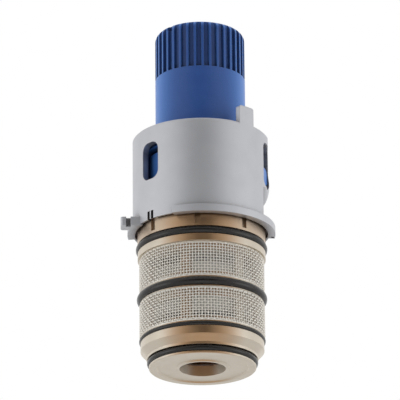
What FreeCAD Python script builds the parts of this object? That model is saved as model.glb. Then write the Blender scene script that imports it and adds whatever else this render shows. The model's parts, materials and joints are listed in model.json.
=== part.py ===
import FreeCAD
import Part
import math
import os

# Thermostatic cartridge for a mixer tap, in millimetres and degrees.
# The origin is the centre of the bottom face and +Z runs up the axis to the splined stem.
# Azimuth 0 is the front (-Y) and grows towards the right (+X).
# One radius drives the others: the bore of the valve body, and walls, steps and gaps follow from it.

# Fits
RUN_CLEAR = 0.05  # radial play of what turns or slides
SEAT_CLEAR = 0.03  # radial play of what is pushed or screwed home
END_PLAY = 0.08  # play along the axis of what turns or lies in a groove

# Valve body, radially from its bore outwards
BORE_R = 11.3
CHANNEL_WALL = 1.0  # behind the water channels
LAND_STEP = 1.6  # from the channel floor out to the narrow lands
BAND_STEP = 0.06  # the lower band lies under the lands by this
FOOT_WALL = 1.15
UP_LAND_STEP = 0.51
COLLAR_STEP = 0.04
NECK_STEP = 1.45  # from the collar in to the neck inside the housing
NECK_WALL = 1.7
CHAMBER_STEP = 1.7
BOSS_WALL = 2.5

# Valve body, from the bottom up
FOOT_H = 0.55
TAPER_H = 1.5
BAND_H = 1.81
LAND_T = 0.22
LOW_SCREEN_H = 7.95
UP_SCREEN_H = 8.15
UP_LAND_H = 1.57
COLLAR_GAP = 3.0  # brass collar left bare under the housing
COLLAR_TUCK = 0.8  # part of the collar that hides in the housing's skirt
NECK_LIP = 1.1  # neck left above the snap groove
SEAT_BAND_H = 0.7
UP_SEAT_BAND_H = 2.0
CHAMBER_H = 3.4
BULKHEAD_T = 3.1
BOSS_H = 2.5

# Pockets round the collar
POCKET_COUNT = 8
POCKET_AZ = -3.5
POCKET_W = 1.25
POCKET_DEPTH = 0.7
POCKET_SILL = 0.6

# Water windows
PORT_COUNT = 6
PILLAR_W = 2.6
PILLAR_AZ = 43.0
PORT_MARGIN = 1.6

# Sealing rings outside: section, and how far they stand over the land beside them
CAP_RING_SECTION = 1.4
CAP_RING_INSET = 0.05
LOW_RING_SECTION = 0.9
LOW_RING_PROUD = 0.25
MID_RING_SECTION = 1.95
MID_RING_PROUD = 0.73
COLLAR_RING_SECTION = 1.78
COLLAR_RING_PROUD = 0.41

# Bottom cap
CAP_RIM_INSET = 0.45
CAP_RIM_T = 0.5
CAP_SHANK_H = 3.6
CAP_WALL = 1.85
CAP_WEB_T = 2.4
OUTLET_LEDGE = 1.2  # flat left for the return spring round the outlet
OUTLET_RIM = 0.5
FACE_RIM = 2.0
FACE_RECESS_DEPTH = 0.3
EDGE_BREAK = 0.3

# Strainers: rings and bars with open meshes between them
SCREEN_PROUD = 0.2
SCREEN_T = 0.4
SCREEN_HEM_H = 0.5
SCREEN_BARS = 24
SCREEN_HOOPS = 4
SCREEN_BAR_SHARE = 0.36  # part of each pitch that a bar fills
SCREEN_HOOP_H = 0.45
SCREEN_HOOP_INSET = 0.1

# Housing
SKIRT_GAP = 0.55  # room between the collar and the housing's skirt
SKIRT_WALL = 0.5
HOUSE_WALL = 1.6
WEB_T = 1.44
FLANGE_W = 1.2
FLANGE_T = 1.65
FLANGE_DROP = 0.35  # the flange reaches under the wall by this
FLANGE_SPANS = ((-23.0, 98.0), (-98.0, -66.0), (128.0, 232.0))
TAB_OUT = 1.4
TAB_W = 3.2
TAB_H = 2.1
TAB_OFFSET = 5.7  # from the axis forward to the middle of the side tab
TAB_SLIT_W = 1.0
TAB_SLIT_INSET = 1.75  # from the tab's end to the slit's middle
TAB_ROUND = 0.6
LUG_SPAN = (34.7, 50.5)
LUG_H = 4.05
LUG_T = 1.2
LUG_ROUND = 0.5
OPPOSITE = 180.0  # from each window and key slot to its twin at the back
WINDOW_AZ = -47.75
WINDOW_W = 5.1
WINDOW_H = 8.8
WINDOW_TOP = 4.0  # from the housing's top down to the window
WINDOW_CORNER = 1.9
SLOT_AZ = 74.9
SLOT_W = 4.9
SLOT_H = 10.5
SLOT_TOP = 2.25  # from the housing's top down to the key slot
SLOT_CORNER = 1.6
FLAT_DEPTH = 1.5
FLAT_RIB_SPAN = (62.0, 118.0)  # the wall is thicker inside behind the flat
PAD_DEPTH = 0.3
PAD_CREST = 0.05  # the pad's swelling stays under the round wall by this
PAD_DROP = 0.7  # from the slot's lower end down to the pad's
PAD_SWELL_H = 2.3
EDGE_SLIT_ANGLES = (-49.4, -45.1)
EDGE_SLIT_W = 0.75
EDGE_SLIT_H = 1.9
EDGE_SLIT_DEPTH = 0.9
PIN_HOLE_INSET = 3.0  # degrees from the flange's end
PIN_HOLE_R = 0.4
RIB_ANGLES = (-25.0, 0.0, 25.0, 155.0, 180.0, 205.0)
RIB_H = 1.3
RIB_W = 1.6
SNAP_W = 3.0
SNAP_H = 0.8
SNAP_DEPTH = 0.45
SNAP_RISE = 2.2  # from the housing's lower edge to the snap bead

# Regulating nut and what holds it
NUT_FLANGE_GAP = 0.9
NUT_FLANGE_T = 2.2
NUT_SHOULDER = 2.75
SMOOTH_H = 14.75
SPLINE_H = 11.3
SPLINE_DEPTH = 0.7
SPLINE_TEETH = 36
SPLINE_TIP_SHARE = 0.3
SPLINE_FLANK_SHARE = 0.08
SPLINE_AZ = 3.6
STEM_ROUND = 1.7
INDEX_AZ = -44.0
INDEX_W = 1.5
INDEX_H = 1.5
SHANK_WALL = 1.4
SCREW_R = 2.1
SCREW_DEPTH = 13.0
SCREW_RECESS_R = 6.0
SCREW_RECESS_H = 1.5
NUT_BORE_ROOM = 4.0  # free height over the spring tube
WASHER_T = 0.3
CLIP_T = 0.65
CLIP_W = 2.4
CLIP_BITE = 0.6
CLIP_MOUTH = 40.0

# Adjusting thread
LEAD = 2.0  # rise of the lift sleeve for one full turn of the nut
TURN_RANGE = 150.0  # each way from the middle
LIFT_END_GAP = 0.3

# Lift sleeve and overload group
SLEEVE_WALL = 3.6
SLEEVE_H = 10.7
SLEEVE_GAP = 1.5  # over the neck when the sleeve is lowest
SLEEVE_CHAMFER = 0.4
SLEEVE_FLOOR_T = 1.6
TUBE_GAP = 0.2
TUBE_WALL = 1.0
TUBE_RISE = 2.2  # over the sleeve's top
KEY_H = 3.85
KEY_RISE = 4.1
KEY_INSET = 0.65
SPRING_CAP_T = 1.6
SPRING_CAP_HEX_EDGE = 3.4  # from the tube's bore in to the hexagon's corners
PLUNGER_STEP = 1.9  # from the tube's bore in to the plunger's stem
PLUNGER_FLANGE_GAP = 0.2
PLUNGER_FLANGE_T = 1.5
PLUNGER_NOSE_GAP = 1.05
PLUNGER_NOSE_H = 4.0
PLUNGER_RING_SECTION = 1.04
OVERLOAD_WIRE = 1.1
OVERLOAD_GAP = 0.65  # between the spring and the tube round it

# Thermal element and control piston
SEAT_GAP = 1.8  # open gap at each valve seat
PISTON_WALL = 1.85
PISTON_RING_SECTION = 1.04
HUB_T = 2.1
HUB_WALL = 0.75
SPOKE_COUNT = 4
SPOKE_W = 2.2
FLOW_GAP = 3.8  # water way between the capsule and the piston
CAPSULE_H = 11.0
CAPSULE_FLANGE_STEP = 1.2
CAPSULE_FLANGE_T = 1.2
CAPSULE_ROUND = 1.2
GUIDE_FOOT_STEP = 2.6
GUIDE_FOOT_T = 1.2
GUIDE_STEP = 1.0
GUIDE_H = 6.3
PIN_STEP = 1.6
PIN_SOCKET = 0.8
PIN_SHOW = 1.5
PIN_DEPTH = 3.5
RETAINER_T = 0.5
RETURN_WIRE = 1.0
RETURN_GAP = 0.8  # between the capsule and the spring round it
SPRING_GAP = 0.06  # least room between neighbouring turns

# Heights, from the bottom up
groove_play = 2 * END_PLAY / 3
z_body = CAP_RIM_T + CAP_RING_SECTION + groove_play
z_taper = z_body + FOOT_H
z_band = z_taper + TAPER_H
z_low_groove = z_band + BAND_H
z_low_land = z_low_groove + LOW_RING_SECTION + groove_play
z_low_screen = z_low_land + LAND_T
z_mid_land = z_low_screen + LOW_SCREEN_H
z_mid_groove = z_mid_land + LAND_T
z_mid_top = z_mid_groove + MID_RING_SECTION + groove_play
z_up_screen = z_mid_top + LAND_T
z_up_land = z_up_screen + UP_SCREEN_H
z_collar_groove = z_up_land + UP_LAND_H
z_collar = z_collar_groove + COLLAR_RING_SECTION + groove_play
z_house = z_collar + COLLAR_GAP
z_collar_top = z_house + COLLAR_TUCK
z_flange = z_house - FLANGE_DROP
z_flange_top = z_flange + FLANGE_T
z_snap = z_house + SNAP_RISE
z_neck_top = z_snap + SNAP_H + NECK_LIP

# Heights inside the valve body
z_low_port = z_low_screen + PORT_MARGIN
z_low_port_top = z_mid_land - PORT_MARGIN
z_up_port = z_up_screen + PORT_MARGIN
z_up_port_top = z_up_land - UP_SEAT_BAND_H - END_PLAY
z_bulkhead = z_up_port_top + CHAMBER_H
z_bulkhead_top = z_bulkhead + BULKHEAD_T
z_boss_top = z_bulkhead_top + BOSS_H
z_cap_top = z_body + CAP_SHANK_H
z_piston = z_low_port + SEAT_GAP
z_piston_top = z_up_port_top - SEAT_GAP
z_piston_mid = (z_piston + z_piston_top) / 2
z_hub = z_piston_mid - HUB_T / 2
z_hub_top = z_hub + HUB_T
z_capsule_top = z_hub_top + CAPSULE_FLANGE_T
z_guide_top = z_capsule_top + GUIDE_H
z_plunger = z_guide_top + PIN_SHOW

# Heights of the adjusting group, from the neck up
lift_travel = LEAD * TURN_RANGE / 360
z_sleeve = z_neck_top + SLEEVE_GAP + lift_travel
z_floor = z_sleeve + SLEEVE_FLOOR_T
z_shank = z_floor + lift_travel + LIFT_END_GAP
z_sleeve_top = z_sleeve + SLEEVE_H
z_nut_flange = z_sleeve_top + lift_travel + LIFT_END_GAP
z_nut_flange_top = z_nut_flange + NUT_FLANGE_T
z_web = z_nut_flange_top + END_PLAY + WASHER_T
z_house_top = z_web + WEB_T
z_clip = z_house_top + END_PLAY
z_spline = z_house_top + SMOOTH_H
z_top = z_spline + SPLINE_H
z_tube_top = z_sleeve_top + TUBE_RISE
z_spring_cap = z_tube_top - SPRING_CAP_T
z_plunger_flange_top = z_floor + PLUNGER_FLANGE_T
z_nut_bore_top = z_tube_top + lift_travel + NUT_BORE_ROOM
z_slot_top = z_house_top - SLOT_TOP
z_slot = z_slot_top - SLOT_H
z_pad = z_slot - PAD_DROP
z_crest = z_pad + PAD_SWELL_H
z_key = z_sleeve + KEY_RISE

# Radii of the valve body and the housing, outwards from the bore
channel_r = BORE_R + CHANNEL_WALL
land_r = channel_r + LAND_STEP
band_r = land_r - BAND_STEP
foot_r = BORE_R + FOOT_WALL
up_land_r = land_r + UP_LAND_STEP
collar_r = up_land_r + COLLAR_STEP
neck_r = collar_r - NECK_STEP
neck_bore_r = neck_r - NECK_WALL
snap_groove_r = neck_r - SNAP_DEPTH - RUN_CLEAR
skirt_r = collar_r + SKIRT_GAP
house_r = skirt_r + SKIRT_WALL
house_bore_r = house_r - HOUSE_WALL
house_neck_r = neck_r + SEAT_CLEAR
flange_r = house_r + FLANGE_W
tab_reach = flange_r + TAB_OUT
flat_x = house_r - FLAT_DEPTH
pad_x = house_r - PAD_DEPTH
crest_x = house_r - PAD_CREST
screen_r = land_r + SCREEN_PROUD
screen_bore_r = screen_r - SCREEN_T
screen_seat_r = screen_bore_r - SEAT_CLEAR
low_ring_r = land_r + LOW_RING_PROUD
low_groove_r = low_ring_r - LOW_RING_SECTION - SEAT_CLEAR
mid_ring_r = land_r + MID_RING_PROUD
mid_groove_r = mid_ring_r - MID_RING_SECTION - SEAT_CLEAR
collar_ring_r = up_land_r + COLLAR_RING_PROUD
collar_groove_r = collar_ring_r - COLLAR_RING_SECTION - SEAT_CLEAR
cap_rim_r = foot_r - CAP_RIM_INSET
cap_ring_r = foot_r - CAP_RING_INSET
cap_shank_r = BORE_R - SEAT_CLEAR
cap_bore_r = cap_shank_r - CAP_WALL
face_recess_r = cap_rim_r - FACE_RIM
chamber_r = BORE_R - CHAMBER_STEP

# Radii of the adjusting group, inwards from the housing's bore
nut_flange_r = house_bore_r - NUT_FLANGE_GAP
stem_r = nut_flange_r - NUT_SHOULDER
sleeve_r = house_bore_r - RIB_H
rib_r = sleeve_r + RUN_CLEAR
shank_r = sleeve_r - SLEEVE_WALL
shank_bore_r = shank_r - SHANK_WALL
tube_outer_r = shank_bore_r - TUBE_GAP
tube_r = tube_outer_r - TUBE_WALL
overload_r = tube_r - OVERLOAD_GAP - OVERLOAD_WIRE / 2
plunger_r = tube_r - PLUNGER_STEP
stem_bore_r = plunger_r + RUN_CLEAR
boss_r = plunger_r + BOSS_WALL
key_r = house_r - KEY_INSET

# Radii of the thermal element, inwards from the piston
piston_r = BORE_R - RUN_CLEAR
piston_bore_r = piston_r - PISTON_WALL
capsule_r = piston_bore_r - FLOW_GAP
capsule_flange_r = capsule_r + CAPSULE_FLANGE_STEP
guide_foot_r = capsule_flange_r - GUIDE_FOOT_STEP
guide_r = guide_foot_r - GUIDE_STEP
pin_r = guide_r - PIN_STEP
return_r = capsule_r + RETURN_GAP + RETURN_WIRE / 2
outlet_r = return_r - RETURN_WIRE / 2 - OUTLET_LEDGE


def place(shape, azimuth):
    """Turn a shape made at the right-hand side (+X) to an azimuth."""
    turned_shape = shape.copy()
    turned_shape.rotate(FreeCAD.Vector(), FreeCAD.Vector(0, 0, 1), azimuth - 90)
    return turned_shape


def turned(outline):
    """A solid turned about the axis, from a closed outline of (radius, height) corners."""
    corners = [FreeCAD.Vector(radius, 0, height) for radius, height in outline]
    face = Part.Face(Part.makePolygon(corners + corners[:1]))
    return face.revolve(FreeCAD.Vector(), FreeCAD.Vector(0, 0, 1), 360)


def tube(outer_r, inner_r, low, high):
    outline = [(inner_r, low), (outer_r, low), (outer_r, high), (inner_r, high)]
    return turned(outline)


def sector(outer_r, inner_r, low, high, span):
    """The piece of a tube between two azimuths."""
    first, last = span
    base = FreeCAD.Vector(0, 0, low)
    axis = FreeCAD.Vector(0, 0, 1)
    outer = Part.makeCylinder(outer_r, high - low, base, axis, last - first)
    inner = Part.makeCylinder(inner_r, high - low, base, axis, 360)
    return place(outer.cut(inner), first)


def block(inner_r, outer_r, width, low, high, azimuth):
    """A straight block that points outwards from the axis."""
    corner = FreeCAD.Vector(inner_r, -width / 2, low)
    return place(Part.makeBox(outer_r - inner_r, width, high - low, corner), azimuth)


def rounded_block(inner_r, outer_r, width, low, high, azimuth, corner_r):
    """A block whose four edges along its length are rounded."""
    corner = FreeCAD.Vector(inner_r, -width / 2, low)
    box = Part.makeBox(outer_r - inner_r, width, high - low, corner)
    lengthways = [edge for edge in box.Edges if abs(edge.tangentAt(0).x) > 0.5]
    return place(box.makeFillet(corner_r, lengthways), azimuth)


def seal_ring(outer_r, section, middle):
    """A rubber ring of round section."""
    radius = section / 2
    return Part.makeTorus(outer_r - radius, radius, FreeCAD.Vector(0, 0, middle))


def half_coil(mean_r, wire, z_from, z_to, side):
    """Half a turn of round wire that climbs from one side of the axis to the other."""
    climb = (z_to - z_from) / 2
    major_r = math.hypot(mean_r, climb)
    axis = FreeCAD.Vector(0, 0, 1)
    half = Part.makeTorus(major_r, wire / 2, FreeCAD.Vector(), axis, -180, 180, 180)
    half.rotate(FreeCAD.Vector(), FreeCAD.Vector(0, 1, 0), math.degrees(math.asin(climb / major_r)))
    half.rotate(FreeCAD.Vector(), axis, 180 * side)
    half.translate(FreeCAD.Vector(0, 0, (z_from + z_to) / 2))
    return half


def coil_spring(mean_r, wire, low, high):
    """A round-wire spring with half a turn lying flat at each end, wound as close as its wire allows."""
    height = high - low - wire
    count = int(height / (wire + SPRING_GAP))
    rise = height / count
    levels = [low + wire / 2]
    levels += [levels[0] + number * rise for number in range(count + 1)]
    levels.append(high - wire / 2)
    halves = [
        half_coil(mean_r, wire, levels[number], levels[number + 1], number % 2)
        for number in range(len(levels) - 1)
    ]
    return halves[0].fuse(halves[1:]).removeSplitter()


def make_bottom_cap():
    groove_r = cap_ring_r - CAP_RING_SECTION - SEAT_CLEAR
    return turned([
        (outlet_r, 0),
        (outlet_r + OUTLET_RIM, 0),
        (outlet_r + OUTLET_RIM + EDGE_BREAK, FACE_RECESS_DEPTH),
        (face_recess_r, FACE_RECESS_DEPTH),
        (face_recess_r + EDGE_BREAK, 0),
        (cap_rim_r - EDGE_BREAK / 2, 0),
        (cap_rim_r, EDGE_BREAK / 2),
        (cap_rim_r, CAP_RIM_T),
        (groove_r, CAP_RIM_T),
        (groove_r, z_body),
        (cap_shank_r, z_body),
        (cap_shank_r, z_cap_top),
        (cap_bore_r, z_cap_top),
        (cap_bore_r, CAP_WEB_T),
        (outlet_r, CAP_WEB_T),
    ])


def make_lower_seat():
    return tube(cap_shank_r, cap_bore_r, z_cap_top, z_low_port)


def body_outline():
    low_channel = (z_low_screen + SEAT_BAND_H, z_mid_land - SEAT_BAND_H)
    up_channel = (z_up_screen + SEAT_BAND_H, z_up_land - UP_SEAT_BAND_H)
    snap_low = z_snap - END_PLAY
    snap_high = z_snap + SNAP_H + END_PLAY
    outside = [
        (BORE_R, z_body),
        (foot_r, z_body),
        (foot_r, z_taper),
        (band_r, z_band),
        (band_r, z_low_groove),
        (low_groove_r, z_low_groove),
        (low_groove_r, z_low_land),
        (land_r, z_low_land),
        (land_r, z_low_screen),
        (screen_seat_r, z_low_screen),
        (screen_seat_r, low_channel[0]),
        (channel_r, low_channel[0]),
        (channel_r, low_channel[1]),
        (screen_seat_r, low_channel[1]),
        (screen_seat_r, z_mid_land),
        (land_r, z_mid_land),
        (land_r, z_mid_groove),
        (mid_groove_r, z_mid_groove),
        (mid_groove_r, z_mid_top),
        (land_r, z_mid_top),
        (land_r, z_up_screen),
        (screen_seat_r, z_up_screen),
        (screen_seat_r, up_channel[0]),
        (channel_r, up_channel[0]),
        (channel_r, up_channel[1]),
        (screen_seat_r, up_channel[1]),
        (screen_seat_r, z_up_land),
        (up_land_r, z_up_land),
        (up_land_r, z_collar_groove),
        (collar_groove_r, z_collar_groove),
        (collar_groove_r, z_collar),
        (collar_r, z_collar),
        (collar_r, z_collar_top),
        (neck_r, z_collar_top),
        (neck_r, snap_low),
        (snap_groove_r, snap_low),
        (snap_groove_r, snap_high),
        (neck_r, snap_high),
        (neck_r, z_neck_top),
    ]
    inside = [
        (neck_bore_r, z_neck_top),
        (neck_bore_r, z_bulkhead_top),
        (boss_r, z_bulkhead_top),
        (boss_r, z_boss_top),
        (stem_bore_r, z_boss_top),
        (stem_bore_r, z_bulkhead),
        (chamber_r, z_bulkhead),
        (chamber_r, z_up_port_top),
        (BORE_R, z_up_port_top),
    ]
    return outside + inside


def port_windows(low, high):
    """The water windows of one level, with a pillar left between each two."""
    step = 360.0 / PORT_COUNT
    pillar = math.degrees(PILLAR_W / channel_r)
    windows = []
    for number in range(PORT_COUNT):
        first = PILLAR_AZ + number * step + pillar / 2
        span = (first, first + step - pillar)
        windows.append(sector(land_r, chamber_r, low, high, span))
    return windows


def make_valve_body():
    body = turned(body_outline())
    cuts = port_windows(z_low_port, z_low_port_top) + port_windows(z_up_port, z_up_port_top)
    floor_r = collar_r - POCKET_DEPTH
    sill = z_collar + POCKET_SILL
    for number in range(POCKET_COUNT):
        azimuth = POCKET_AZ + number * 360.0 / POCKET_COUNT
        cuts.append(block(floor_r, house_r, POCKET_W, sill, z_collar_top, azimuth))
    return body.cut(cuts)


def make_strainer(low, high):
    """A round strainer: two hems, hoops between them and upright bars across."""
    hoop_r = screen_r - SCREEN_HOOP_INSET
    screen = tube(screen_r, screen_bore_r, low, low + SCREEN_HEM_H)
    pieces = [tube(screen_r, screen_bore_r, high - SCREEN_HEM_H, high)]
    opening = high - low - 2 * SCREEN_HEM_H
    for number in range(SCREEN_HOOPS):
        middle = low + SCREEN_HEM_H + opening * (number + 1) / (SCREEN_HOOPS + 1)
        pieces.append(tube(hoop_r, screen_bore_r, middle - SCREEN_HOOP_H / 2, middle + SCREEN_HOOP_H / 2))
    step = 360.0 / SCREEN_BARS
    for number in range(SCREEN_BARS):
        first = number * step
        span = (first, first + step * SCREEN_BAR_SHARE)
        pieces.append(sector(screen_r, screen_bore_r, low, high, span))
    return screen.fuse(pieces).removeSplitter()


def housing_shell():
    """The turned wall: a thin skirt over the collar, a thick part on the neck, the bore and the web."""
    return turned([
        (skirt_r, z_house),
        (house_r, z_house),
        (house_r, z_house_top - EDGE_BREAK),
        (house_r - EDGE_BREAK, z_house_top),
        (stem_r + RUN_CLEAR, z_house_top),
        (stem_r + RUN_CLEAR, z_web),
        (house_bore_r, z_web),
        (house_bore_r, z_neck_top),
        (house_neck_r, z_neck_top),
        (house_neck_r, z_collar_top),
        (skirt_r, z_collar_top),
    ])


def flat_cut():
    """What is cut from the right-hand side: a long flat below, a swelling, and a shallow pad above."""
    run_out = crest_x - flat_x
    arc_r = (run_out ** 2 + PAD_SWELL_H ** 2) / (2 * run_out)
    half_angle = math.asin(PAD_SWELL_H / arc_r) / 2
    arc_x = crest_x - arc_r + arc_r * math.cos(half_angle)
    arc_z = z_crest - arc_r * math.sin(half_angle)
    top = z_house_top + LUG_H
    corners = [
        (crest_x, z_crest),
        (pad_x, z_crest + PAD_SWELL_H),
        (pad_x, top),
        (tab_reach, top),
        (tab_reach, z_flange_top),
        (flat_x, z_flange_top),
        (flat_x, z_pad),
    ]
    points = [FreeCAD.Vector(x, -house_r, z) for x, z in corners]
    middle = FreeCAD.Vector(arc_x, -house_r, arc_z)
    swelling = Part.Arc(points[-1], middle, points[0]).toShape()
    wire = Part.Wire(Part.makePolygon(points).Edges + [swelling])
    return Part.Face(wire).extrude(FreeCAD.Vector(0, 2 * house_r, 0))


def make_side_tab():
    """The block on the left of the flange, with its outer corners rounded and a slit in its front."""
    front = -TAB_OFFSET - TAB_W / 2
    corner = FreeCAD.Vector(-tab_reach, front, z_flange)
    tab = Part.makeBox(tab_reach, TAB_W, TAB_H, corner)
    outer = [edge for edge in tab.Edges
             if abs(edge.tangentAt(0).z) > 0.5 and edge.CenterOfMass.x < -skirt_r]
    tab = tab.makeFillet(TAB_ROUND, outer)
    slit_corner = FreeCAD.Vector(TAB_SLIT_INSET - tab_reach - TAB_SLIT_W / 2, front, z_flange)
    slit = Part.makeBox(TAB_SLIT_W, TAB_SLIT_W, TAB_H, slit_corner)
    hollow = Part.makeCylinder(skirt_r, TAB_H, FreeCAD.Vector(0, 0, z_flange))
    return tab.cut([slit, hollow])


def make_stop_lug():
    """The upright lug on the housing's top that the handle comes up against."""
    first, last = LUG_SPAN
    width = 2 * house_r * math.sin(math.radians(last - first) / 2)
    top = z_house_top + LUG_H
    lug = rounded_block(sleeve_r, flange_r, width, z_web, top, (first + last) / 2, LUG_ROUND)
    return lug.common(tube(house_r, house_r - LUG_T, z_web, top))


def housing_additions():
    """The flange, the side tab, the stop lug, the guide ribs and the snap beads."""
    pieces = [sector(flange_r, skirt_r, z_flange, z_flange_top, span) for span in FLANGE_SPANS]
    pieces += [make_side_tab(), make_stop_lug()]
    into_wall = house_bore_r + HOUSE_WALL / 2
    pieces.append(sector(into_wall, rib_r, z_neck_top, z_slot, FLAT_RIB_SPAN))
    rib_hollow = Part.makeCylinder(rib_r, z_house_top)
    bead_r = neck_r - SNAP_DEPTH
    bead_hollow = Part.makeCylinder(bead_r, z_house_top)
    for azimuth in RIB_ANGLES:
        rib = block(rib_r - RIB_H, into_wall, RIB_W, z_neck_top, z_nut_flange - LIFT_END_GAP, azimuth)
        pieces.append(rib.cut(rib_hollow))
        bead = block(bead_r - SNAP_W, into_wall, SNAP_W, z_snap, z_snap + SNAP_H, azimuth)
        pieces.append(bead.cut(bead_hollow))
    return pieces


def housing_cuts():
    """The windows, the key slots, the slits in the lower edge and the pin hole in the flange."""
    window_top = z_house_top - WINDOW_TOP
    window_low = window_top - WINDOW_H
    cuts = []
    for turn in (0, OPPOSITE):
        window_az = WINDOW_AZ + turn
        slot_az = SLOT_AZ + turn
        cuts.append(rounded_block(rib_r, flange_r, WINDOW_W, window_low, window_top, window_az, WINDOW_CORNER))
        cuts.append(rounded_block(sleeve_r, flange_r, SLOT_W, z_slot, z_slot_top, slot_az, SLOT_CORNER))
    slit_floor = house_r - EDGE_SLIT_DEPTH
    for azimuth in EDGE_SLIT_ANGLES:
        cuts.append(block(slit_floor, flange_r, EDGE_SLIT_W, z_flange, z_house + EDGE_SLIT_H, azimuth))
    hole_centre = FreeCAD.Vector((house_r + flange_r) / 2, 0, z_flange)
    pin_hole = Part.makeCylinder(PIN_HOLE_R, FLANGE_T, hole_centre)
    cuts.append(place(pin_hole, FLANGE_SPANS[0][1] - PIN_HOLE_INSET))
    return cuts


def make_upper_housing():
    shell = housing_shell().fuse(housing_additions())
    return shell.cut([flat_cut()] + housing_cuts()).removeSplitter()


def make_splines():
    """The toothed upper end of the stem, its grooves cut into the round and its top edge rounded."""
    root_r = stem_r - SPLINE_DEPTH
    over_r = stem_r + SPLINE_DEPTH
    pitch = 2 * math.pi / SPLINE_TEETH
    tip_half = pitch * SPLINE_TIP_SHARE / 2
    flank = pitch * SPLINE_FLANK_SHARE
    corners = []
    for tooth in range(SPLINE_TEETH):
        middle = tooth * pitch
        corners.append((root_r, middle - tip_half - flank))
        corners.append((over_r, middle - tip_half + flank))
        corners.append((over_r, middle + tip_half - flank))
        corners.append((root_r, middle + tip_half + flank))
    points = [FreeCAD.Vector(r * math.cos(a), r * math.sin(a), z_spline) for r, a in corners]
    wire = Part.makePolygon(points + points[:1])
    teeth = Part.Face(wire).extrude(FreeCAD.Vector(0, 0, SPLINE_H))
    round_stem = Part.makeCylinder(stem_r, SPLINE_H, FreeCAD.Vector(0, 0, z_spline))
    top_edge = [edge for edge in round_stem.Edges if edge.CenterOfMass.z > z_top - STEM_ROUND]
    teeth = place(teeth, SPLINE_AZ).common(round_stem.makeFillet(STEM_ROUND, top_edge))
    floor_r = root_r - SPLINE_DEPTH
    index = block(floor_r, over_r, INDEX_W, z_top - INDEX_H, z_top, INDEX_AZ)
    return teeth.cut(index)


def make_regulating_nut():
    groove_r = stem_r - CLIP_BITE
    groove_low = z_clip - END_PLAY / 2
    groove_high = z_clip + CLIP_T + END_PLAY / 2
    nut = turned([
        (shank_bore_r, z_shank),
        (shank_r, z_shank),
        (shank_r, z_nut_flange),
        (nut_flange_r, z_nut_flange),
        (nut_flange_r, z_nut_flange_top),
        (stem_r, z_nut_flange_top),
        (stem_r, groove_low),
        (groove_r, groove_low),
        (groove_r, groove_high),
        (stem_r, groove_high),
        (stem_r, z_spline),
        (0, z_spline),
        (0, z_nut_bore_top),
        (shank_bore_r, z_nut_bore_top),
    ]).fuse(make_splines())
    screw_hole = turned([
        (0, z_top - SCREW_DEPTH),
        (SCREW_R, z_top - SCREW_DEPTH),
        (SCREW_R, z_top - SCREW_RECESS_H),
        (SCREW_RECESS_R, z_top - SCREW_RECESS_H),
        (SCREW_RECESS_R, z_top),
        (0, z_top),
    ])
    return nut.cut(screw_hole)


def make_thrust_washer():
    return tube(nut_flange_r, stem_r + RUN_CLEAR, z_web - WASHER_T, z_web)


def make_retaining_clip():
    """An open spring clip in the stem's groove, just over the housing's top."""
    inner_r = stem_r - CLIP_BITE + SEAT_CLEAR
    outer_r = inner_r + CLIP_W
    mouth = (OPPOSITE - CLIP_MOUTH / 2, OPPOSITE + CLIP_MOUTH / 2)
    clip = tube(outer_r, inner_r, z_clip, z_clip + CLIP_T)
    return clip.cut(sector(outer_r + CLIP_W, shank_r, z_clip, z_clip + CLIP_T, mouth))


def make_lift_sleeve():
    thread_r = shank_r + RUN_CLEAR
    sleeve = turned([
        (stem_bore_r, z_sleeve),
        (sleeve_r, z_sleeve),
        (sleeve_r, z_sleeve_top - SLEEVE_CHAMFER),
        (sleeve_r - SLEEVE_CHAMFER, z_sleeve_top),
        (thread_r, z_sleeve_top),
        (thread_r, z_floor),
        (tube_outer_r, z_floor),
        (tube_outer_r, z_tube_top),
        (tube_r, z_tube_top),
        (tube_r, z_floor),
        (stem_bore_r, z_floor),
    ])
    key_w = SLOT_W - 4 * RUN_CLEAR
    key_corner = SLOT_CORNER - 2 * RUN_CLEAR
    keys = [
        rounded_block(sleeve_r - TUBE_WALL, key_r, key_w, z_key, z_key + KEY_H, SLOT_AZ + turn, key_corner)
        for turn in (0, OPPOSITE)
    ]
    return sleeve.fuse(keys)


def make_spring_cap():
    hex_r = tube_r - SPRING_CAP_HEX_EDGE
    disc = Part.makeCylinder(tube_r - SEAT_CLEAR, SPRING_CAP_T, FreeCAD.Vector(0, 0, z_spring_cap))
    corners = [
        FreeCAD.Vector(hex_r * math.cos(a), hex_r * math.sin(a), z_spring_cap)
        for a in (math.radians(60 * number) for number in range(6))
    ]
    hexagon = Part.Face(Part.makePolygon(corners + corners[:1]))
    return disc.cut(hexagon.extrude(FreeCAD.Vector(0, 0, SPRING_CAP_T)))


def make_overload_spring():
    return coil_spring(overload_r, OVERLOAD_WIRE, z_plunger_flange_top, z_spring_cap)


def plunger_groove():
    """Bottom, top and floor radius of the groove for the plunger's sealing ring."""
    middle = (z_bulkhead + z_boss_top) / 2
    half = PLUNGER_RING_SECTION / 2 + END_PLAY
    return middle - half, middle + half, plunger_r - PLUNGER_RING_SECTION


def make_overload_plunger():
    low, high, groove_r = plunger_groove()
    socket_r = pin_r + RUN_CLEAR
    flange_outer_r = tube_r - PLUNGER_FLANGE_GAP
    nose_r = overload_r - OVERLOAD_WIRE / 2 - PLUNGER_NOSE_GAP
    return turned([
        (0, z_plunger + PIN_SOCKET),
        (socket_r, z_plunger + PIN_SOCKET),
        (socket_r, z_plunger),
        (plunger_r, z_plunger),
        (plunger_r, low),
        (groove_r, low),
        (groove_r, high),
        (plunger_r, high),
        (plunger_r, z_floor),
        (flange_outer_r, z_floor),
        (flange_outer_r, z_plunger_flange_top),
        (nose_r, z_plunger_flange_top),
        (nose_r, z_plunger_flange_top + PLUNGER_NOSE_H),
        (0, z_plunger_flange_top + PLUNGER_NOSE_H),
    ])


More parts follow.
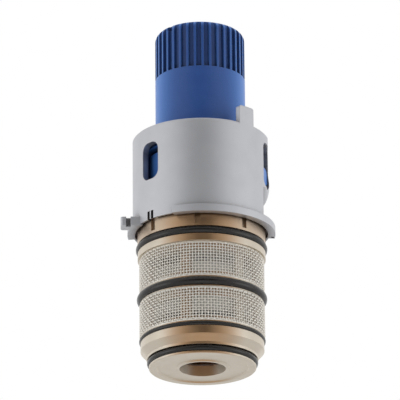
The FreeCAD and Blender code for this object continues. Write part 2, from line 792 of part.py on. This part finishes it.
def make_plunger_o_ring():
    low, high, groove_r = plunger_groove()
    outer_r = groove_r + PLUNGER_RING_SECTION + SEAT_CLEAR / 2
    return seal_ring(outer_r, PLUNGER_RING_SECTION, (low + high) / 2)


def make_control_piston():
    half = PISTON_RING_SECTION / 2 + END_PLAY
    groove_r = piston_r - PISTON_RING_SECTION
    sleeve = turned([
        (piston_bore_r, z_piston),
        (piston_r, z_piston),
        (piston_r, z_piston_mid - half),
        (groove_r, z_piston_mid - half),
        (groove_r, z_piston_mid + half),
        (piston_r, z_piston_mid + half),
        (piston_r, z_piston_top),
        (piston_bore_r, z_piston_top),
    ])
    hub_bore_r = capsule_r + SEAT_CLEAR
    cup_r = capsule_flange_r + SEAT_CLEAR
    cup_top = z_capsule_top + RETAINER_T
    pieces = [turned([
        (hub_bore_r, z_hub),
        (cup_r + HUB_WALL, z_hub),
        (cup_r + HUB_WALL, cup_top),
        (cup_r, cup_top),
        (cup_r, z_hub_top),
        (hub_bore_r, z_hub_top),
    ])]
    spoke_end = piston_bore_r + PISTON_WALL / 4
    for number in range(SPOKE_COUNT):
        azimuth = 360.0 * number / SPOKE_COUNT
        pieces.append(block(cup_r + HUB_WALL / 2, spoke_end, SPOKE_W, z_hub, z_hub_top, azimuth))
    return sleeve.fuse(pieces).removeSplitter()


def make_piston_o_ring():
    outer_r = piston_r + SEAT_CLEAR / 2
    return seal_ring(outer_r, PISTON_RING_SECTION, z_piston_mid)


def make_wax_capsule():
    low = z_hub_top - CAPSULE_H
    return turned([
        (0, low),
        (capsule_r - CAPSULE_ROUND, low),
        (capsule_r, low + CAPSULE_ROUND),
        (capsule_r, z_hub_top),
        (capsule_flange_r, z_hub_top),
        (capsule_flange_r, z_capsule_top),
        (0, z_capsule_top),
    ])


def make_capsule_guide():
    bore_r = pin_r + RUN_CLEAR
    bore_low = z_guide_top - PIN_DEPTH - EDGE_BREAK
    return turned([
        (0, z_capsule_top),
        (guide_foot_r, z_capsule_top),
        (guide_foot_r, z_capsule_top + GUIDE_FOOT_T),
        (guide_r, z_capsule_top + 2 * GUIDE_FOOT_T),
        (guide_r, z_guide_top),
        (bore_r, z_guide_top),
        (bore_r, bore_low),
        (0, bore_low),
    ])


def make_capsule_retainer():
    inner_r = guide_foot_r + SEAT_CLEAR
    return tube(capsule_flange_r, inner_r, z_capsule_top, z_capsule_top + RETAINER_T)


def make_push_pin():
    low = z_guide_top - PIN_DEPTH
    return Part.makeCylinder(pin_r, z_plunger + PIN_SOCKET - low, FreeCAD.Vector(0, 0, low))


def make_return_spring():
    return coil_spring(return_r, RETURN_WIRE, CAP_WEB_T, z_hub)


def make_parts():
    cap_ring_z = (CAP_RIM_T + z_body) / 2
    low_ring_z = (z_low_groove + z_low_land) / 2
    mid_ring_z = (z_mid_groove + z_mid_top) / 2
    collar_ring_z = (z_collar_groove + z_collar) / 2
    return {
        "regulating_nut": make_regulating_nut(),
        "thrust_washer": make_thrust_washer(),
        "retaining_clip": make_retaining_clip(),
        "upper_housing": make_upper_housing(),
        "lift_sleeve": make_lift_sleeve(),
        "spring_cap": make_spring_cap(),
        "overload_spring": make_overload_spring(),
        "overload_plunger": make_overload_plunger(),
        "plunger_o_ring": make_plunger_o_ring(),
        "valve_body": make_valve_body(),
        "collar_o_ring": seal_ring(collar_ring_r, COLLAR_RING_SECTION, collar_ring_z),
        "centre_o_ring": seal_ring(mid_ring_r, MID_RING_SECTION, mid_ring_z),
        "lower_o_ring": seal_ring(low_ring_r, LOW_RING_SECTION, low_ring_z),
        "cap_o_ring": seal_ring(cap_ring_r, CAP_RING_SECTION, cap_ring_z),
        "upper_strainer": make_strainer(z_up_screen, z_up_land),
        "lower_strainer": make_strainer(z_low_screen, z_mid_land),
        "push_pin": make_push_pin(),
        "capsule_guide": make_capsule_guide(),
        "capsule_retainer": make_capsule_retainer(),
        "wax_capsule": make_wax_capsule(),
        "control_piston": make_control_piston(),
        "piston_o_ring": make_piston_o_ring(),
        "return_spring": make_return_spring(),
        "lower_seat": make_lower_seat(),
        "bottom_cap": make_bottom_cap(),
    }


os.makedirs("parts", exist_ok=True)
for name, shape in make_parts().items():
    shape.exportStep("parts/" + name + ".step")
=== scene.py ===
import json
import math

import bpy
import numpy as np
from mathutils import Matrix, Vector


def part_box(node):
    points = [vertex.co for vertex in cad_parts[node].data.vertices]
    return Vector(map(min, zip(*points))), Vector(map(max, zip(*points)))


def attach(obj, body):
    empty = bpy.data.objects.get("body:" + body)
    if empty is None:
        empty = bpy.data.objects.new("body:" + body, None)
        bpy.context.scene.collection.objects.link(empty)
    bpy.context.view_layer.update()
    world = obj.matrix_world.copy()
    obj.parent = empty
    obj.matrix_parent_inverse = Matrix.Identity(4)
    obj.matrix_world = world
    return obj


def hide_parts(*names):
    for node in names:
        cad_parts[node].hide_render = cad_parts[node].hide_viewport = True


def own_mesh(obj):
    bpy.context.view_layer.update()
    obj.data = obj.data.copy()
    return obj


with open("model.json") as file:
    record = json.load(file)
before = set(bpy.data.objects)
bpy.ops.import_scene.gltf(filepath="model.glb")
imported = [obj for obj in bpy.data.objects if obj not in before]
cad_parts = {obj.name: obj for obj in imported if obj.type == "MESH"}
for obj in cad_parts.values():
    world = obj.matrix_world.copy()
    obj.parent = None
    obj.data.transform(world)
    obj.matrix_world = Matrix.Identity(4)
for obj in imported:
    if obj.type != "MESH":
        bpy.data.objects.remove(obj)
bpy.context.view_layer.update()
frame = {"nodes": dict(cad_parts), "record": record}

MM = 0.001
NODES = frame["nodes"]

# Camera, fitted to the photograph: it stands below the object and looks up
CAMERA_PLACE = Vector((-0.26, -814.4, -262.5)) * MM
CAMERA_PITCH = 0.35586
CAMERA_ROLL = 0.0088
CAMERA_LENS = 345.3
SENSOR = 36.0

# Studio
FLOOR_Z = -1.0
FLOOR_SIZE = 12.0
# Brightness of the room by the angle from the front, in degrees
ROOM_LIGHT = ((0, 0.06), (24, 0.06), (44, 0.86), (60, 0.80), (95, 0.72), (125, 0.92), (180, 1.0))
LAMP_SIZE = 0.5
LAMP_DISTANCE = 0.75
LAMP_TARGET_Z = 0.04
SIDE_LAMP_POWER = 0.8
SIDE_LAMP_AZIMUTH = 78.0
SIDE_LAMP_HEIGHT = -0.06
LOW_LAMP_POWER = 0.3
LOW_LAMP_HEIGHT = -0.7

# Brass, in millimetres
EDGE_SHEEN_Z = (26.0, 30.0)  # above these heights the painted edge sheen is weaker
LIME_R = (5.1, 5.5)  # inside these radii lime dulls it

# Woven strainers
WIRES_ROUND = 130
WIRE_ROWS = 12
WIRE_HALF_W = 0.13 * MM
WIRE_HALF_T = 0.10 * MM
WIRE_SIDES = 6
WAVE_STEPS = 4  # stretches of wire between two crossings
HEM_H = 0.35 * MM


def node(material, kind, inputs=None, **settings):
    """Add a shader node. An input is a number, a colour or another node's output."""
    tree = material.node_tree
    made = tree.nodes.new(kind)
    for key, value in settings.items():
        setattr(made, key, value)
    for key, value in (inputs or {}).items():
        if isinstance(value, bpy.types.NodeSocket):
            tree.links.new(value, made.inputs[key])
        else:
            made.inputs[key].default_value = value
    return made


def calc(material, operation, *values):
    """One sum on numbers or other nodes' outputs."""
    return node(material, "ShaderNodeMath", dict(enumerate(values)), operation=operation).outputs[0]


def smooth_step(material, value, low, high, to_low=0.0, to_high=1.0):
    """Go smoothly from to_low to to_high as the value goes from low to high."""
    inputs = {"Value": value, "From Min": low, "From Max": high, "To Min": to_low, "To Max": to_high}
    return node(material, "ShaderNodeMapRange", inputs, interpolation_type="SMOOTHSTEP").outputs[0]


def mix_colour(material, share, first, second):
    """The first colour at share 0, the second at share 1."""
    inputs = {0: share, 6: first, 7: second}
    return node(material, "ShaderNodeMix", inputs, data_type="RGBA").outputs[2]


def rgb(red, green, blue):
    """A colour written as it looks on screen, 0 to 255, as the linear values of the shader."""
    linear = []
    for part in (red, green, blue):
        share = part / 255
        linear.append(share / 12.92 if share <= 0.04045 else ((share + 0.055) / 1.055) ** 2.4)
    return (*linear, 1.0)


def place_mm(material):
    """The point on the surface in millimetres, in the object's own frame."""
    point = node(material, "ShaderNodeTexCoord").outputs["Object"]
    return node(material, "ShaderNodeVectorMath", {0: point, "Scale": 1 / MM}, operation="SCALE").outputs[0]


def round_place(material):
    """Radius from the axis, height and the point itself, in millimetres."""
    point = place_mm(material)
    parts = node(material, "ShaderNodeSeparateXYZ", {0: point}).outputs
    flat = node(material, "ShaderNodeCombineXYZ", {0: parts[0], 1: parts[1]}).outputs[0]
    radius = node(material, "ShaderNodeVectorMath", {0: flat}, operation="LENGTH").outputs["Value"]
    return radius, parts[2], point


def noise(material, vector, scale, detail=3.0, rough=0.55):
    inputs = {"Vector": vector, "Scale": scale, "Detail": detail, "Roughness": rough}
    return node(material, "ShaderNodeTexNoise", inputs).outputs["Fac"]


def edge_on(material, low, high):
    """0 where the surface faces the viewer, 1 where it is seen edge-on."""
    facing = node(material, "ShaderNodeLayerWeight", {"Blend": 0.5}).outputs["Facing"]
    return smooth_step(material, facing, low, high)


def open_share(material, reach_mm):
    """1 on open surfaces, less in corners and pockets narrower than reach_mm."""
    inputs = {"Distance": reach_mm * MM}
    return node(material, "ShaderNodeAmbientOcclusion", inputs, samples=6).outputs["AO"]


def new_material(name, edge_r):
    """A fresh material, its main shader and a normal that rounds edges by edge_r millimetres."""
    material = bpy.data.materials.new(name)
    material.use_nodes = True
    shader = material.node_tree.nodes["Principled BSDF"]
    rounded = node(material, "ShaderNodeBevel", {"Radius": edge_r * MM}, samples=6).outputs[0]
    return material, shader, rounded


def set_shader(material, shader, **values):
    for key, value in values.items():
        socket = shader.inputs[key.replace("_", " ")]
        if isinstance(value, bpy.types.NodeSocket):
            material.node_tree.links.new(value, socket)
        else:
            socket.default_value = value


def bump(material, height, distance_mm, normal):
    inputs = {"Height": height, "Distance": distance_mm * MM, "Strength": 1.0, "Normal": normal}
    return node(material, "ShaderNodeBump", inputs).outputs[0]


def blue_plastic():
    """Moulded blue plastic with a fine satin skin, a painted sheen where it is seen edge-on and painted
    shade in pockets.
    """
    material, shader, rounded = new_material("blue_plastic", 0.18)
    point = place_mm(material)
    cloud = noise(material, point, 0.35, 4)
    skin = noise(material, point, 9.0, 3)
    colour = mix_colour(material, cloud, rgb(42, 78, 146), rgb(52, 90, 158))
    # painted sheen: the blue turns lighter where the surface is seen edge-on
    colour = mix_colour(material, edge_on(material, 0.06, 0.75), colour, rgb(78, 132, 212))
    # painted shade: darker navy in corners and narrow pockets, where the surface is hemmed in
    painted_shade = smooth_step(material, open_share(material, 1.5), 0.35, 0.95)
    colour = mix_colour(material, painted_shade, rgb(24, 40, 78), colour)
    rough = smooth_step(material, skin, 0.25, 0.75, 0.32, 0.44)
    set_shader(material, shader, Base_Color=colour, Roughness=rough, IOR=1.42,
               Normal=bump(material, skin, 0.01, rounded))
    return material


def grey_housing():
    """Light grey housing with a satin, slightly metallic skin, and painted shade in corners, window jambs
    and pockets.
    """
    material, shader, rounded = new_material("grey_housing", 0.22)
    point = place_mm(material)
    cloud = noise(material, point, 0.22, 4)
    skin = noise(material, point, 7.0, 4, 0.6)
    colour = mix_colour(material, cloud, rgb(196, 197, 202), rgb(208, 209, 212))
    # painted shade: dark brown in corners, window jambs and pockets narrower than the reach
    painted_shade = smooth_step(material, open_share(material, 4.0), 0.3, 0.9)
    colour = mix_colour(material, painted_shade, rgb(60, 44, 42), colour)
    rough = smooth_step(material, skin, 0.2, 0.8, 0.42, 0.52)
    set_shader(material, shader, Base_Color=colour, Roughness=rough, Metallic=0.88,
               Normal=bump(material, skin, 0.012, rounded))
    return material


def turned_metal(name, low, high, edge, rough_low, rough_high):
    """Metal from the lathe: tool lines run round the axis on walls and faces alike.

    It pales to the edge colour, a painted sheen, where it is seen edge-on, and lime dulls it in the outlet.
    """
    material, shader, rounded = new_material(name, 0.10)
    radius, height, point = round_place(material)
    lathe = node(material, "ShaderNodeCombineXYZ", {0: radius, 1: height}).outputs[0]
    coarse = noise(material, lathe, 2.2, 3)
    fine = noise(material, lathe, 14.0, 2)
    cloud = noise(material, point, 0.30, 4)
    lines = calc(material, "MULTIPLY_ADD", fine, 0.4, coarse)
    colour = mix_colour(material, cloud, low, high)
    colour = mix_colour(material, smooth_step(material, coarse, 0.3, 0.7, 0.0, 0.35), colour, low)
    # painted sheen: paler towards the edge colour where seen edge-on, weaker above the strainers
    pale = calc(material, "MULTIPLY", smooth_step(material, height, *EDGE_SHEEN_Z, 1.0, 0.55),
                edge_on(material, 0.06, 0.34))
    colour = mix_colour(material, pale, colour, edge)
    metal = smooth_step(material, radius, *LIME_R, 0.3, 1.0)
    rough = smooth_step(material, cloud, 0.3, 0.7, rough_low, rough_high)
    set_shader(material, shader, Base_Color=colour, Metallic=metal, Roughness=rough,
               Normal=bump(material, lines, 0.012, rounded))
    return material


def black_rubber():
    """Moulded rubber, a little greasy, with faint bloom."""
    material, shader, rounded = new_material("black_rubber", 0.05)
    point = place_mm(material)
    bloom = noise(material, point, 0.8, 5, 0.6)
    skin = noise(material, point, 12.0, 2)
    colour = mix_colour(material, bloom, rgb(14, 10, 8), rgb(26, 20, 17))
    rough = smooth_step(material, bloom, 0.3, 0.7, 0.22, 0.34)
    set_shader(material, shader, Base_Color=colour, Roughness=rough, IOR=1.5,
               Normal=bump(material, skin, 0.006, rounded))
    return material


def plain_metal(name, low, high, rough_low, rough_high, metallic):
    """Drawn or rolled metal with soft clouding."""
    material, shader, rounded = new_material(name, 0.04)
    point = place_mm(material)
    cloud = noise(material, point, 0.9, 4)
    grain = noise(material, point, 16.0, 2)
    colour = mix_colour(material, cloud, low, high)
    rough = smooth_step(material, cloud, 0.3, 0.7, rough_low, rough_high)
    set_shader(material, shader, Base_Color=colour, Metallic=metallic, Roughness=rough,
               Normal=bump(material, grain, 0.004, rounded))
    return material


def white_plastic():
    """Moulded plastic of the inner pieces."""
    material, shader, rounded = new_material("white_plastic", 0.10)
    point = place_mm(material)
    cloud = noise(material, point, 0.4, 4)
    skin = noise(material, point, 8.0, 3)
    colour = mix_colour(material, cloud, rgb(196, 194, 186), rgb(214, 212, 204))
    rough = smooth_step(material, skin, 0.2, 0.8, 0.4, 0.55)
    set_shader(material, shader, Base_Color=colour, Roughness=rough,
               Normal=bump(material, skin, 0.01, rounded))
    return material


def dress_frame():
    """Give every carried-over solid its finish."""
    finishes = {
        "blue_plastic": blue_plastic(),
        "grey_plastic": grey_housing(),
        # the third colour of each turned metal is its painted sheen where it is seen edge-on
        "turned_brass": turned_metal("turned_brass", rgb(176, 138, 102), rgb(196, 162, 126),
                                     rgb(216, 206, 190), 0.32, 0.42),
        "black_rubber": black_rubber(),
        "white_plastic": white_plastic(),
        "copper": turned_metal("copper", rgb(188, 120, 82), rgb(208, 142, 100),
                               rgb(236, 200, 176), 0.3, 0.45),
        "woven_steel": plain_metal("strainer_wire", rgb(236, 230, 220), rgb(248, 245, 238), 0.3, 0.45, 0.75),
        "spring_steel": plain_metal("spring_wire", rgb(150, 150, 152), rgb(176, 176, 178), 0.25, 0.4, 1.0),
    }
    slots = {entry["node"]: entry["material_slot"] for entry in frame["record"]["subparts"]}
    for name, cad_object in NODES.items():
        cad_object.data.materials.clear()
        cad_object.data.materials.append(finishes[slots[name]])
    return finishes


def wire_points(angle, height, radius):
    """Points round the axis, with angles from the front."""
    return np.stack([radius * np.sin(angle), -radius * np.cos(angle), height], axis=-1)


def round_wire(points, side, out, closed):
    """Vertices and quads of an oval wire along points, with its two cross directions given."""
    count = len(points)
    turns = np.arange(WIRE_SIDES) * 2 * math.pi / WIRE_SIDES
    corners = np.stack([points + out * math.cos(t) + side * math.sin(t) for t in turns], axis=1)
    return corners.reshape(-1, 3), ring_quads(count, WIRE_SIDES, closed)


def ring_quads(count, corners, closed):
    """Quads between each ring of corners and the next."""
    start = np.arange(count if closed else count - 1)
    following = (start + 1) % count
    quads = []
    for corner in range(corners):
        after = (corner + 1) % corners
        quads.append(np.stack([start * corners + corner, following * corners + corner,
                               following * corners + after, start * corners + after], axis=1))
    return np.concatenate(quads)


def hoop_wire(radius, height, first_side):
    """One wire round the strainer, over and under the upright ones."""
    steps = WIRES_ROUND * WAVE_STEPS
    angle = np.arange(steps) * 2 * math.pi / steps
    wave = first_side * np.cos(angle * WIRES_ROUND / 2) * WIRE_HALF_T
    level = np.full(steps, height)
    out = wire_points(angle, level * 0, WIRE_HALF_T)
    side = np.zeros_like(out)
    side[:, 2] = WIRE_HALF_W
    return round_wire(wire_points(angle, level, radius + wave), side, out, True)


def upright_wire(radius, angle, low, pitch, first_side):
    """One upright wire of the strainer."""
    steps = WIRE_ROWS * WAVE_STEPS + 1
    rise = np.arange(steps) / WAVE_STEPS
    wave = first_side * np.sin(rise * math.pi) * WIRE_HALF_T
    angles = np.full(steps, angle)
    out = wire_points(angles, rise * 0, WIRE_HALF_T)
    side = wire_points(angles + math.pi / 2, rise * 0, WIRE_HALF_W)
    return round_wire(wire_points(angles, low + rise * pitch, radius + wave), side, out, False)


def band(radius_in, radius_out, low, high, steps=180):
    """Vertices and quads of a thin ring of rectangular section."""
    angle = np.arange(steps) * 2 * math.pi / steps
    rings = [wire_points(angle, np.full(steps, z), r)
             for r, z in ((radius_out, low), (radius_out, high), (radius_in, high), (radius_in, low))]
    return np.stack(rings, axis=1).reshape(-1, 3), ring_quads(steps, 4, True)


def mesh_object(name, pieces, material, smooth=True):
    """One object from a list of (vertices, quads)."""
    vertices, quads, offset = [], [], 0
    for piece_vertices, piece_quads in pieces:
        vertices.append(piece_vertices)
        quads.append(piece_quads + offset)
        offset += len(piece_vertices)
    mesh = bpy.data.meshes.new(name)
    mesh.from_pydata(np.concatenate(vertices).tolist(), [], np.concatenate(quads).tolist())
    mesh.polygons.foreach_set("use_smooth", [smooth] * len(mesh.polygons))
    mesh.materials.append(material)
    mesh.update()
    made = bpy.data.objects.new(name, mesh)
    bpy.context.scene.collection.objects.link(made)
    return made


def woven_strainer(name, cad_node, material):
    """Plain-weave wire cloth rolled into a band, in place of the solid strainer."""
    low_corner, high_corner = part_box(cad_node)
    radius = high_corner.x - 2 * WIRE_HALF_T
    low, high = low_corner.z, high_corner.z
    start = low + WIRE_HALF_W
    pitch = (high - WIRE_HALF_W - start) / WIRE_ROWS
    pieces = []
    for row in range(WIRE_ROWS):
        pieces.append(hoop_wire(radius, start + (row + 0.5) * pitch, 1 if row % 2 else -1))
    for column in range(WIRES_ROUND):
        angle = column * 2 * math.pi / WIRES_ROUND
        pieces.append(upright_wire(radius, angle, start, pitch, -1 if column % 2 else 1))
    inner = radius - WIRE_HALF_T
    pieces.append(band(inner, radius, low, low + HEM_H))
    pieces.append(band(inner, radius, high - HEM_H, high))
    strainer = mesh_object(name, pieces, material)
    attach(strainer, "cartridge_body")
    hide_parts(cad_node)
    return strainer


def working_spring(name, cad_node, body):
    """A copy of the solid spring, carried by the given body, in place of the solid one."""
    spring = bpy.data.objects.new(name, NODES[cad_node].data.copy())
    bpy.context.scene.collection.objects.link(spring)
    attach(spring, body)
    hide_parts(cad_node)
    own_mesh(spring)


def add_camera():
    """Level heading +Y, pitched up and turned a little about its own axis, as in the photograph."""
    up = Vector((0, -math.sin(CAMERA_PITCH), math.cos(CAMERA_PITCH)))
    ahead = Vector((0, math.cos(CAMERA_PITCH), math.sin(CAMERA_PITCH)))
    right = Vector((1, 0, 0))
    turned_right = right * math.cos(CAMERA_ROLL) - up * math.sin(CAMERA_ROLL)
    turned_up = up * math.cos(CAMERA_ROLL) + right * math.sin(CAMERA_ROLL)
    data = bpy.data.cameras.new("camera")
    data.lens = CAMERA_LENS
    data.sensor_width = SENSOR
    data.clip_start = 0.05
    data.clip_end = 50
    camera = bpy.data.objects.new("camera", data)
    matrix = Matrix((turned_right, turned_up, -ahead)).transposed().to_4x4()
    matrix.translation = CAMERA_PLACE
    camera.matrix_world = matrix
    bpy.context.scene.collection.objects.link(camera)
    bpy.context.scene.camera = camera


def add_lamp(name, azimuth, height, power):
    """A square soft lamp that looks at the middle of the object."""
    data = bpy.data.lights.new(name, "AREA")
    data.energy = power
    data.size = LAMP_SIZE
    lamp = bpy.data.objects.new(name, data)
    angle = math.radians(azimuth)
    target = Vector((0, 0, LAMP_TARGET_Z))
    place = Vector((math.sin(angle), -math.cos(angle), 0)) * LAMP_DISTANCE + Vector((0, 0, height))
    lamp.location = place
    lamp.rotation_mode = "QUATERNION"
    lamp.rotation_quaternion = (target - place).to_track_quat("-Z", "Y")
    bpy.context.scene.collection.objects.link(lamp)


def add_world():
    """A pale room that is darker towards the front, as behind a photographer's camera."""
    world = bpy.data.worlds.new("studio")
    bpy.context.scene.world = world
    world.use_nodes = True
    tree = world.node_tree
    tree.nodes.clear()
    toward = node(world, "ShaderNodeTexCoord").outputs["Generated"]
    parts = node(world, "ShaderNodeSeparateXYZ", {0: toward}).outputs
    from_front = calc(world, "ARCCOSINE", calc(world, "MULTIPLY", parts[1], -1.0))
    share = calc(world, "DIVIDE", from_front, math.pi)
    ramp = node(world, "ShaderNodeValToRGB", {0: share})
    stops = ramp.color_ramp.elements
    for angle, level in ROOM_LIGHT[1:-1]:
        stops.new(angle / 180).color = (level, level, level, 1)
    for stop, (angle, level) in ((stops[0], ROOM_LIGHT[0]), (stops[-1], ROOM_LIGHT[-1])):
        stop.color = (level, level, level, 1)
    light = ramp.outputs[0]
    room = node(world, "ShaderNodeBackground", {"Color": (1, 1, 1, 1), "Strength": light}).outputs[0]
    white = node(world, "ShaderNodeBackground", {"Color": (1, 1, 1, 1), "Strength": 1.0}).outputs[0]
    camera_ray = node(world, "ShaderNodeLightPath").outputs["Is Camera Ray"]
    mixed = node(world, "ShaderNodeMixShader", {0: camera_ray, 1: room, 2: white}).outputs[0]
    node(world, "ShaderNodeOutputWorld", {0: mixed})


def add_floor():
    """A plain pale floor, well below the object, which the photograph shows free in the air."""
    half = FLOOR_SIZE / 2
    corners = np.array([(-half, -half, FLOOR_Z), (half, -half, FLOOR_Z), (half, half, FLOOR_Z),
                        (-half, half, FLOOR_Z)])
    material = bpy.data.materials.new("pale_floor")
    material.use_nodes = True
    shader = material.node_tree.nodes["Principled BSDF"]
    point = node(material, "ShaderNodeTexCoord").outputs["Object"]
    cloud = noise(material, point, 3.0, 2)
    colour = mix_colour(material, cloud, (0.86, 0.86, 0.86, 1), (0.9, 0.9, 0.9, 1))
    set_shader(material, shader, Base_Color=colour, Roughness=0.9)
    floor = mesh_object("floor", [(corners, np.array([[0, 1, 2, 3]]))], material, smooth=False)


def set_stage():
    """Camera, room, floor and lamps."""
    bpy.context.scene.view_settings.view_transform = "Standard"
    add_camera()
    add_world()
    add_floor()
    for name, azimuth in (("left_lamp", -SIDE_LAMP_AZIMUTH), ("right_lamp", SIDE_LAMP_AZIMUTH)):
        add_lamp(name, azimuth, SIDE_LAMP_HEIGHT, SIDE_LAMP_POWER)
    add_lamp("low_lamp", 0, LOW_LAMP_HEIGHT, LOW_LAMP_POWER)


finishes = dress_frame()
woven_strainer("upper_wire_cloth", "upper_strainer", finishes["woven_steel"])
woven_strainer("lower_wire_cloth", "lower_strainer", finishes["woven_steel"])
working_spring("working_overload_spring", "overload_spring", "sleeve")
working_spring("working_return_spring", "return_spring", "cartridge_body")
set_stage()
